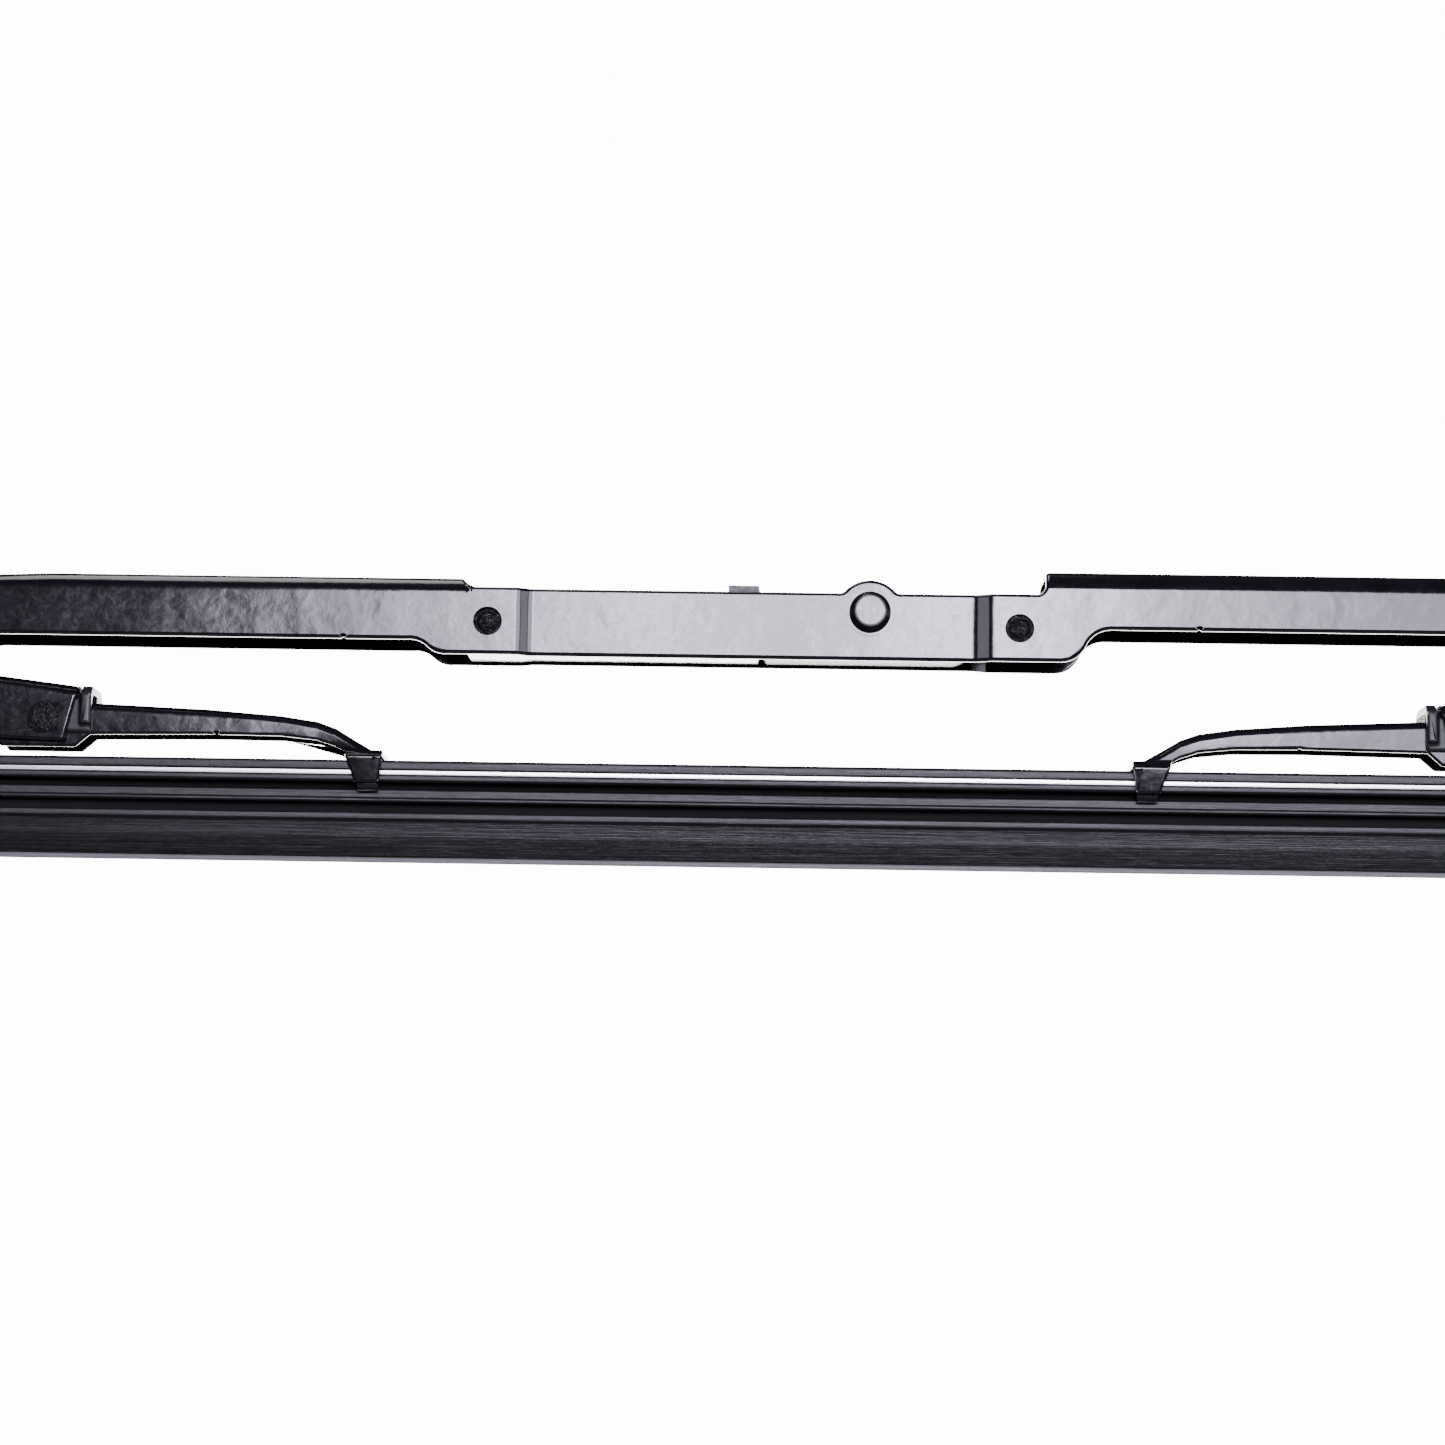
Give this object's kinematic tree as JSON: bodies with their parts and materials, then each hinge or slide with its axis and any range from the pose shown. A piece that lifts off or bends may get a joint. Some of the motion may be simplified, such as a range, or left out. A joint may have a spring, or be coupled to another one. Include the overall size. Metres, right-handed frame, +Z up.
{
  "type": "windshield wiper blade",
  "caption": "Bridge-type wiper blade: black pressed-steel bridge, rocking levers and yokes whose claws hold a long rubber squeegee, with a hook adapter on a cross pin.",
  "frame": {"origin": "centre of the hook pin, on its axis, midway between the bridge's walls", "axes": "+X along the blade, towards the end away from the arm; +Y across it, along the hook pin; +Z up, away from the glass"},
  "size_m": [0.6, 0.0166, 0.0499],
  "materials": {
    "painted_steel": "gloss black stoved paint with a fine orange peel",
    "rivet_steel": "gloss black paint over the rough face of a swaged rivet",
    "pin_steel": "gloss black paint over a smooth turned head",
    "black_plastic": "black moulded nylon, satin",
    "rubber": "black extruded rubber, fine lines along its length",
    "spring_strip": "bright rolled spring steel strip"
  },
  "bodies": {
    "bridge": {"main_bridge": "painted_steel", "window_stiffener": "painted_steel", "cross_rivet_left": "rivet_steel", "cross_rivet_right": "rivet_steel", "hook_pin": "pin_steel", "left_lever_rivet": "pin_steel", "right_lever_rivet": "pin_steel"},
    "hook_adapter": {"hook_adapter": "black_plastic"},
    "left_lever": {"left_lever": "painted_steel", "left_lever_bush": "black_plastic", "left_yoke_bush": "black_plastic", "left_yoke_rivet": "rivet_steel"},
    "left_yoke": {"left_yoke": "painted_steel"},
    "right_lever": {"right_lever": "painted_steel", "right_lever_bush": "black_plastic", "right_yoke_bush": "black_plastic", "right_yoke_rivet": "rivet_steel"},
    "right_yoke": {"right_yoke": "painted_steel"},
    "squeegee": {"wiper_rubber": "rubber", "front_strip": "spring_strip", "rear_strip": "spring_strip"}
  },
  "joints": [
    {"name": "adapter_tilt", "type": "hinge", "parent": "bridge", "child": "hook_adapter", "pos_m": [0, 0, 0], "axis": [0, 1, 0], "range_deg": [-12, 75]},
    {"name": "left_lever_rock", "type": "hinge", "parent": "bridge", "child": "left_lever", "pos_m": [-0.1924, 0, -0.0109], "axis": [0, 1, 0], "range_deg": [-5, 5], "stiffness_Nm_per_rad": 1, "deforming": ["wiper_rubber", "front_strip", "rear_strip"]},
    {"name": "left_yoke_rock", "type": "hinge", "parent": "left_lever", "child": "left_yoke", "pos_m": [-0.1371, 0, -0.0195], "axis": [0, 1, 0], "range_deg": [-2, 2]},
    {"name": "right_lever_rock", "type": "hinge", "parent": "bridge", "child": "right_lever", "pos_m": [0.1556, 0, -0.0109], "axis": [0, 1, 0], "range_deg": [-5, 5]},
    {"name": "right_yoke_rock", "type": "hinge", "parent": "right_lever", "child": "right_yoke", "pos_m": [0.1003, 0, -0.0195], "axis": [0, 1, 0], "range_deg": [-2, 2]},
    {"name": "squeegee_rise", "type": "slide", "parent": "bridge", "child": "squeegee", "axis": [0, 0, 1], "range_m": [-0.008, 0.008]}
  ],
  "couplings": [
    {"joint": "right_lever_rock", "follows": "left_lever_rock", "ratio": -1},
    {"joint": "left_yoke_rock", "follows": "left_lever_rock", "ratio": -0.3869},
    {"joint": "right_yoke_rock", "follows": "left_lever_rock", "ratio": 0.3869},
    {"joint": "squeegee_rise", "follows": "left_lever_rock", "m_per_rad": -0.0885}
  ]
}
